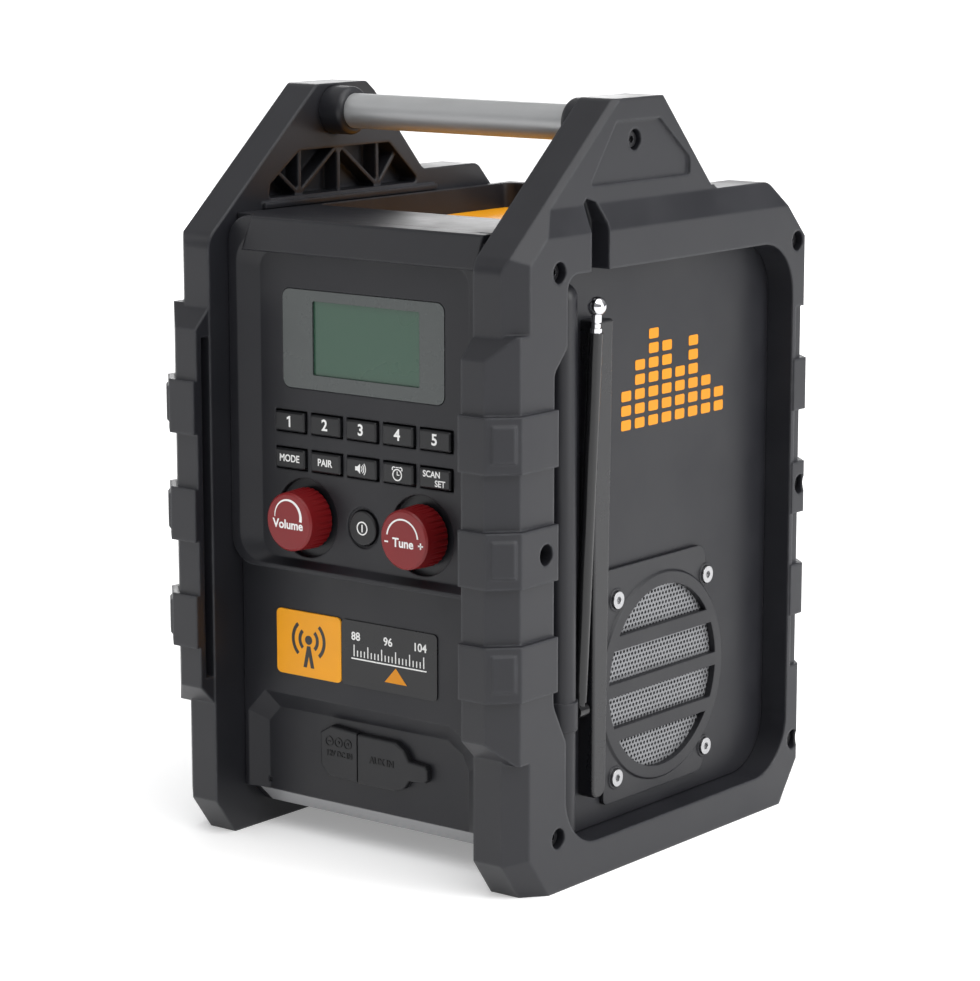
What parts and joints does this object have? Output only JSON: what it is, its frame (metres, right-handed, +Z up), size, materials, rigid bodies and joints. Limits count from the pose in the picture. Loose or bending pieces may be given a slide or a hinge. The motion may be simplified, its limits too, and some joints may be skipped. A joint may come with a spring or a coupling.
{
  "type": "jobsite radio",
  "caption": "Rugged battery radio with armoured side frames, carrying tube, display, keypad, two knobs, side speakers and a folding telescopic antenna.",
  "frame": {"origin": "centre of the footprint, on the plane that the radio stands on", "axes": "+Z up, -Y towards the front with the controls, +X towards the side with the antenna"},
  "size_m": [0.2018, 0.238, 0.3405],
  "materials": {
    "frame_plastic": "fine moulded texture",
    "body_plastic": "fine moulded texture",
    "grille_plastic": "fine moulded texture",
    "panel_yellow": "satin",
    "badge_dark": "satin",
    "tube_aluminium": "brushed",
    "screw_steel": "dark zinc",
    "pin_steel": "ground",
    "seal_rubber": "matt",
    "flap_rubber": "matt",
    "lens_clear": "clear",
    "lcd_green": "satin",
    "key_plastic": "satin",
    "knob_red": "satin",
    "component_black": "semi-gloss",
    "board_green": "solder mask",
    "heat_sink": "anodised",
    "mesh_grey": "perforated, satin",
    "driver_black": "satin",
    "antenna_black": "gloss black",
    "antenna_chrome": "polished",
    "pack_plastic": "textured",
    "contact_brass": "plated"
  },
  "bodies": {
    "root": {"antenna_guard": "body_plastic", "antenna_pin": "antenna_black", "aux_jack": "component_black", "badge_plate": "badge_dark", "badge_tile": "panel_yellow", "battery_bay": "body_plastic", "battery_contacts": "contact_brass", "battery_pack": "pack_plastic", "control_board": "board_green", "dc_jack": "component_black", "door_hinge_pin": "pin_steel", "encoders": "component_black", "frame_screws": "screw_steel", "front_bezel": "body_plastic", "front_gasket": "seal_rubber", "handle_sockets": "frame_plastic", "handle_tube": "tube_aluminium", "keypad_mat": "seal_rubber", "lcd_lens": "lens_clear", "lcd_module": "lcd_green", "main_board": "board_green", "main_shell": "body_plastic", "power_amplifier": "heat_sink", "rear_cover": "body_plastic", "rear_screws": "screw_steel", "side_frame_left": "frame_plastic", "side_frame_right": "frame_plastic", "side_panel_left": "body_plastic", "side_panel_right": "body_plastic", "speaker_driver_left": "driver_black", "speaker_driver_right": "driver_black", "speaker_grille_left": "grille_plastic", "speaker_grille_right": "grille_plastic", "speaker_mesh_left": "mesh_grey", "speaker_mesh_right": "mesh_grey", "speaker_screws": "pin_steel", "top_cover": "panel_yellow"},
    "volume_control": {"volume_knob": "knob_red", "volume_shaft": "pin_steel"},
    "tune_control": {"tune_knob": "knob_red", "tune_shaft": "pin_steel"},
    "power_button": {"power_button": "key_plastic"},
    "antenna_base": {"antenna_base": "antenna_black"},
    "antenna_mid": {"antenna_mid": "antenna_chrome"},
    "antenna_upper": {"antenna_upper": "antenna_chrome"},
    "antenna_tip": {"antenna_tip": "antenna_chrome"},
    "dc_flap": {"dc_flap": "flap_rubber"},
    "aux_flap": {"aux_flap": "flap_rubber"},
    "battery_door": {"battery_door": "body_plastic"},
    "door_latch": {"door_latch": "key_plastic"},
    "key_1": {"key_1": "key_plastic"},
    "key_2": {"key_2": "key_plastic"},
    "key_3": {"key_3": "key_plastic"},
    "key_4": {"key_4": "key_plastic"},
    "key_5": {"key_5": "key_plastic"},
    "key_mode": {"key_mode": "key_plastic"},
    "key_pair": {"key_pair": "key_plastic"},
    "key_sound": {"key_sound": "key_plastic"},
    "key_alarm": {"key_alarm": "key_plastic"},
    "key_scan": {"key_scan": "key_plastic"}
  },
  "joints": [
    {"name": "volume_turn", "type": "hinge", "parent": "root", "child": "volume_control", "pos_m": [-0.033, -0.0911, 0.1518], "axis": [0, -1, 0], "range_deg": [-150, 150]},
    {"name": "tune_turn", "type": "hinge", "parent": "root", "child": "tune_control", "pos_m": [0.033, -0.0911, 0.1518], "axis": [0, -1, 0], "continuous": true},
    {"name": "key_1_press", "type": "slide", "parent": "root", "child": "key_1", "axis": [0, 1, 0], "range_m": [0, 0.0008], "stiffness_N_per_m": 1000, "springref_m": -0.0006},
    {"name": "key_2_press", "type": "slide", "parent": "root", "child": "key_2", "axis": [0, 1, 0], "range_m": [0, 0.0008], "stiffness_N_per_m": 1000, "springref_m": -0.0006},
    {"name": "key_3_press", "type": "slide", "parent": "root", "child": "key_3", "axis": [0, 1, 0], "range_m": [0, 0.0008], "stiffness_N_per_m": 1000, "springref_m": -0.0006},
    {"name": "key_4_press", "type": "slide", "parent": "root", "child": "key_4", "axis": [0, 1, 0], "range_m": [0, 0.0008], "stiffness_N_per_m": 1000, "springref_m": -0.0006},
    {"name": "key_5_press", "type": "slide", "parent": "root", "child": "key_5", "axis": [0, 1, 0], "range_m": [0, 0.0008], "stiffness_N_per_m": 1000, "springref_m": -0.0006},
    {"name": "key_mode_press", "type": "slide", "parent": "root", "child": "key_mode", "axis": [0, 1, 0], "range_m": [0, 0.0008], "stiffness_N_per_m": 1000, "springref_m": -0.0006},
    {"name": "key_pair_press", "type": "slide", "parent": "root", "child": "key_pair", "axis": [0, 1, 0], "range_m": [0, 0.0008], "stiffness_N_per_m": 1000, "springref_m": -0.0006},
    {"name": "key_sound_press", "type": "slide", "parent": "root", "child": "key_sound", "axis": [0, 1, 0], "range_m": [0, 0.0008], "stiffness_N_per_m": 1000, "springref_m": -0.0006},
    {"name": "key_alarm_press", "type": "slide", "parent": "root", "child": "key_alarm", "axis": [0, 1, 0], "range_m": [0, 0.0008], "stiffness_N_per_m": 1000, "springref_m": -0.0006},
    {"name": "key_scan_press", "type": "slide", "parent": "root", "child": "key_scan", "axis": [0, 1, 0], "range_m": [0, 0.0008], "stiffness_N_per_m": 1000, "springref_m": -0.0006},
    {"name": "power_button_press", "type": "slide", "parent": "root", "child": "power_button", "axis": [0, 1, 0], "range_m": [0, 0.0008], "stiffness_N_per_m": 1000, "springref_m": -0.0006},
    {"name": "antenna_fold", "type": "hinge", "parent": "root", "child": "antenna_base", "pos_m": [0.0884, -0.05, 0.074], "axis": [0, 1, 0], "range_deg": [0, 90]},
    {"name": "antenna_mid_slide", "type": "slide", "parent": "antenna_base", "child": "antenna_mid", "axis": [0.0462, 0, 0.9989], "range_m": [0, 0.15]},
    {"name": "antenna_upper_slide", "type": "slide", "parent": "antenna_mid", "child": "antenna_upper", "axis": [0.0462, 0, 0.9989], "range_m": [0, 0.15]},
    {"name": "antenna_tip_slide", "type": "slide", "parent": "antenna_upper", "child": "antenna_tip", "axis": [0.0462, 0, 0.9989], "range_m": [0, 0.15]},
    {"name": "dc_flap_open", "type": "hinge", "parent": "root", "child": "dc_flap", "pos_m": [-0.0092, -0.0863, 0.044], "axis": [0, 0, 1], "range_deg": [0, 100]},
    {"name": "aux_flap_open", "type": "hinge", "parent": "root", "child": "aux_flap", "pos_m": [-0.0084, -0.0863, 0.044], "axis": [0, 0, 1], "range_deg": [-100, 0]},
    {"name": "battery_door_open", "type": "hinge", "parent": "root", "child": "battery_door", "pos_m": [0, 0.1116, 0.0648], "axis": [1, 0, 0], "range_deg": [-100, 0]},
    {"name": "door_latch_slide", "type": "slide", "parent": "battery_door", "child": "door_latch", "axis": [0, 0, -1], "range_m": [0, 0.004], "stiffness_N_per_m": 300, "springref_m": -0.002}
  ]
}
